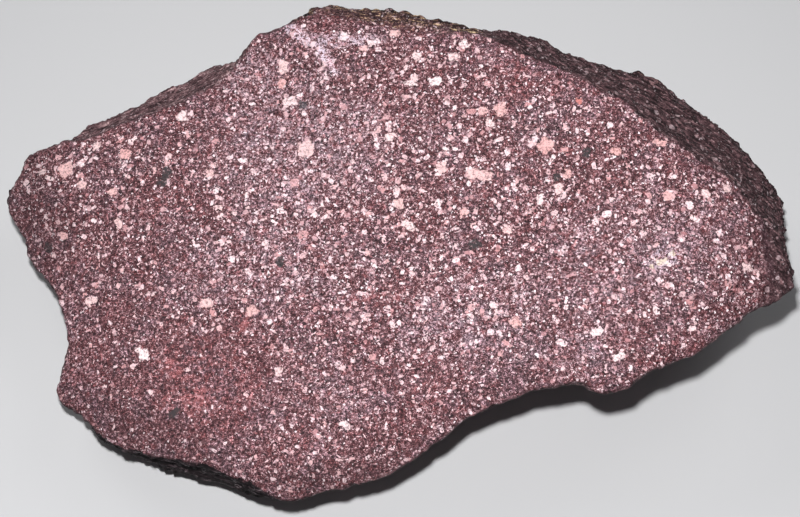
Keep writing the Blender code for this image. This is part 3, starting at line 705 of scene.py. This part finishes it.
def rockMaterial():
    material = bpy.data.materials.new("porphyry")
    material.use_nodes = True
    tree = material.node_tree
    shader = tree.nodes["Principled BSDF"]
    where = addNode(tree, "TexCoord").outputs["Object"]
    inMm = addNode(tree, "Mapping", {"Vector": where, "Scale": (1.0 / mm, 1.0 / mm, 1.0 / mm)}).outputs[0]
    fresh = attribute(tree, "freshRock")
    noises = rock["noises"]

    # the fine ground
    fine = noise(tree, inMm, *noises["fine"])["Fac"]
    middle = noise(tree, inMm, *noises["middle"])["Fac"]
    broad = noise(tree, inMm, *noises["broad"])["Fac"]
    broken = noise(tree, inMm, *noises["broken"])["Fac"]
    fineShare, middleShare, broadShare = rock["groundShares"]
    # painted light: the ground is lifted paler in the sheen zones
    pale = maths(tree, "MULTIPLY", attribute(tree, "sheenAndBruiseZones"), rock["sheenAndBruiseLifts"])
    level = maths(tree, "ADD", maths(tree, "MULTIPLY", fine, fineShare),
                  maths(tree, "MULTIPLY", middle, middleShare))
    level = maths(tree, "ADD", level, maths(tree, "MULTIPLY", broad, broadShare))
    level = maths(tree, "ADD", level, pale)
    colour = colourRamp(tree, level, rock["ground"])
    tone = noise(tree, inMm, *noises["tone"])["Fac"]
    redness = noise(tree, inMm, *noises["redness"])["Fac"]
    redness = between(tree, redness, *rock["reddening"])
    colour = mixed(tree, redness, colour, rock["redGround"], "COLOR")
    greyness = noise(tree, inMm, *noises["greyness"])["Fac"]
    greyness = maths(tree, "ADD", greyness, between(tree, tone, *rock["toneSwing"]))
    greyness = between(tree, greyness, *rock["greying"])
    colour = mixed(tree, greyness, colour, rock["greyGround"], "COLOR")

    # the weathered sides, streaked along their length
    turnBack = maths(tree, "MULTIPLY", attribute(tree, "streakTurn"), -1.0)
    lying = addNode(tree, "VectorRotate", {"Vector": inMm, "Axis": (0.0, 0.0, 1.0), "Angle": turnBack},
                    rotation_type="AXIS_ANGLE").outputs[0]
    lying = vectors(tree, "MULTIPLY", lying, (rock["streakLong"], 1.0, 1.0))
    streaks = noise(tree, lying, *noises["streaks"])["Fac"]
    lumps = noise(tree, inMm, *noises["lumps"])["Fac"]
    lumpShare, fineShare = rock["sideShares"]
    lined = maths(tree, "SUBTRACT", streaks, lumps)
    lined = maths(tree, "MULTIPLY", lined, attribute(tree, "streakedRock"))
    sideLevel = maths(tree, "MULTIPLY", maths(tree, "ADD", lumps, lined), lumpShare)
    sideLevel = maths(tree, "ADD", sideLevel, maths(tree, "MULTIPLY", fine, fineShare))
    sideLevel = maths(tree, "ADD", sideLevel, attribute(tree, "rindLevel"))
    rind = colourRamp(tree, sideLevel, rock["rind"])
    strip = attribute(tree, "stripRock")
    brown = maths(tree, "ADD", strip, between(tree, broken, *rock["brownSwing"]))
    brown = maths(tree, "MULTIPLY", between(tree, brown, *rock["brownEdge"]),
                  between(tree, strip, *rock["brownWithin"]))
    rind = mixed(tree, brown, rind, colourRamp(tree, sideLevel, rock["strip"]))
    rind = mixed(tree, attribute(tree, "layeredRock"), rind, colourRamp(tree, streaks, rock["layered"]))

    # red stains with ragged edges
    blotches = noise(tree, inMm, *noises["blotches"])["Fac"]
    stain = maths(tree, "ADD", attribute(tree, "redZones"), between(tree, blotches, *rock["stainSwing"]))
    stain = between(tree, stain, *rock["staining"])
    colour = mixed(tree, stain, colour, colourRamp(tree, level, rock["redStain"]))

    # crystals and specks, the largest first
    everywhere, denseAdds = rock["crystalShare"]
    share = maths(tree, "ADD", everywhere, maths(tree, "MULTIPLY", attribute(tree, "denseZones"), denseAdds))
    kept = between(tree, attribute(tree, "sparseZones"), *rock["sparseKeeps"])
    share = maths(tree, "MULTIPLY", share, kept)
    rindShare = between(tree, attribute(tree, "layeredRock"), *rock["rindKeeps"])
    mottling = between(tree, noise(tree, inMm, *noises["mottling"])["Fac"], *rock["mottling"])
    allCrystals = 0.0
    facets = (0.0, 0.0, 0.0)
    for layer in rock["crystalLayers"]:
        layerShare = maths(tree, "MULTIPLY", share, layer["share"])
        found = useGroup(tree, crystals, Place=inMm, Cell=layer["cell"], Share=layerShare,
                         Long=layer["long"], Ragged=rock["crystalRagged"], Soft=rock["crystalSoft"])
        tint = mixed(tree, found["Random"], layer["pale"], layer["deep"])
        mask = maths(tree, "MULTIPLY", found["Mask"], mottling)
        colour = mixed(tree, mask, colour, tint)
        rind = mixed(tree, maths(tree, "MULTIPLY", mask, rindShare), rind, tint)
        allCrystals = maths(tree, "MAXIMUM", allCrystals, mask)
        facets = vectors(tree, "ADD", facets, scaled(tree, found["Facet"], mask))
    specks = rock["darkSpecks"]
    found = useGroup(tree, crystals, Place=inMm, Cell=specks["cell"], Share=specks["share"],
                     Long=specks["long"], Ragged=specks["ragged"], Soft=rock["crystalSoft"])
    speck = maths(tree, "MULTIPLY", found["Mask"], rock["specksCover"])
    colour = mixed(tree, speck, colour, specks["colour"])

    # the crystals and spots that stand out, the painted glint highlights among them
    wobble = noise(tree, inMm, *noises["wobble"])["Color"]
    wobble = scaled(tree, vectors(tree, "SUBTRACT", wobble, noiseColour), rock["spotWobble"])
    offset = vectors(tree, "ADD", inMm, wobble)
    offset = vectors(tree, "SUBTRACT", offset, attribute(tree, "spotMiddle", "Vector"))
    spotTurn = attribute(tree, "spotTurn", "Vector")
    offset = addNode(tree, "VectorRotate", {"Vector": offset, "Rotation": spotTurn},
                     rotation_type="EULER_XYZ", invert=True).outputs[0]
    offset = vectors(tree, "DIVIDE", offset, attribute(tree, "spotHalf", "Vector"))
    found = blockMask(tree, offset, rock["spotSoft"])
    speckled = colourRamp(tree, fine, rock["spotTexture"])
    speckled = mixed(tree, 1.0, attribute(tree, "spotTint", "Color"), speckled, "MULTIPLY")
    colour = mixed(tree, maths(tree, "MULTIPLY", found, mottling), colour, speckled)

    # painted sheen (in part a pale bruise) and painted shade (in part a darker patina), then the weathered
    # sides and the rim round the fresh break
    fineShare, brokenShare = rock["sheenAndBruiseShares"]
    sheenAndBruise = maths(tree, "ADD", maths(tree, "MULTIPLY", fine, fineShare),
                   maths(tree, "MULTIPLY", broken, brokenShare))
    sheenAndBruise = maths(tree, "MULTIPLY", attribute(tree, "sheenAndBruiseZones"), between(tree, sheenAndBruise, *rock["sheenAndBruiseSpread"]))
    colour = mixed(tree, sheenAndBruise, colour, rock["sheenAndBruiseColour"])
    # painted shade, in part a darker patina at the tips, mixed over the fresh colour
    shadeAndPatina = maths(tree, "MULTIPLY", attribute(tree, "shadeAndPatinaZones"), rock["shadeCovers"])
    colour = mixed(tree, shadeAndPatina, colour, rock["shade"])
    colour = mixed(tree, fresh, rind, colour)
    rim = maths(tree, "MULTIPLY", attribute(tree, "rimRock"), rock["rimCovers"])
    colour = mixed(tree, rim, colour, colourRamp(tree, sideLevel, rock["rim"]))

    plug(tree, colour, shader.inputs["Base Color"])
    plug(tree, between(tree, allCrystals, *rock["roughness"]), shader.inputs["Roughness"])
    shader.inputs["Specular IOR Level"].default_value = rock["specular"]
    height = noise(tree, inMm, *noises["bump"])["Fac"]
    bump = addNode(tree, "Bump", {"Height": height, "Strength": rock["bumpStrength"],
                                  "Distance": rock["bumpDepth"]}).outputs[0]
    tilted = vectors(tree, "ADD", bump, scaled(tree, facets, rock["facetTilt"]))
    plug(tree, vectors(tree, "NORMALIZE", tilted), shader.inputs["Normal"])
    return material


markStone(stone)
stone.data.materials.append(rockMaterial())
print("rock material made")

studio = {
    "floorSize": 6.0,
    "floorColour": (0.53, 0.53, 0.54, 1.0),
    "floorRoughness": 0.9,
    "floorSpecular": 0.1,
    "keyPlace": viewer + seenUp * 48.0 * mm - seenRight * 12.0 * mm,
    "keySize": 18.0 * mm,
    "keyPower": 1.4,
    "worldColour": (0.85, 0.87, 0.9, 1.0),
    "worldStrength": 0.09,
    "fills": (
        # place, size, power
        (Vector((-0.55, 0.75, 0.75)), 0.7, 3.0),
        (Vector((0.65, 0.70, 0.70)), 0.7, 2.4),
    ),
}


def makeFloor():
    bpy.ops.mesh.primitive_plane_add(size=studio["floorSize"], location=(0.0, 0.0, 0.0))
    floor = bpy.context.object
    floor.name = "floor"
    material = bpy.data.materials.new("paper")
    material.use_nodes = True
    shader = material.node_tree.nodes["Principled BSDF"]
    shader.inputs["Base Color"].default_value = studio["floorColour"]
    shader.inputs["Roughness"].default_value = studio["floorRoughness"]
    shader.inputs["Specular IOR Level"].default_value = studio["floorSpecular"]
    floor.data.materials.append(material)


def addLight(name, place, size, power):
    bpy.ops.object.light_add(type="AREA", location=place)
    lamp = bpy.context.object
    lamp.name = name
    lamp.data.shape = "DISK"
    lamp.data.size = size
    lamp.data.energy = power
    lamp.rotation_euler = (view["faceMiddle"] - lamp.location).to_track_quat("-Z", "Y").to_euler()


def makeLight():
    addLight("key", studio["keyPlace"], studio["keySize"], studio["keyPower"])
    for number, (place, size, power) in enumerate(studio["fills"]):
        addLight(f"fill{number}", place, size, power)
    world = bpy.data.worlds.new("studio")
    bpy.context.scene.world = world
    world.use_nodes = True
    background = world.node_tree.nodes["Background"]
    background.inputs["Color"].default_value = studio["worldColour"]
    background.inputs["Strength"].default_value = studio["worldStrength"]
    bpy.context.scene.view_settings.view_transform = "Standard"


makeFloor()
makeLight()
print("floor and light made")
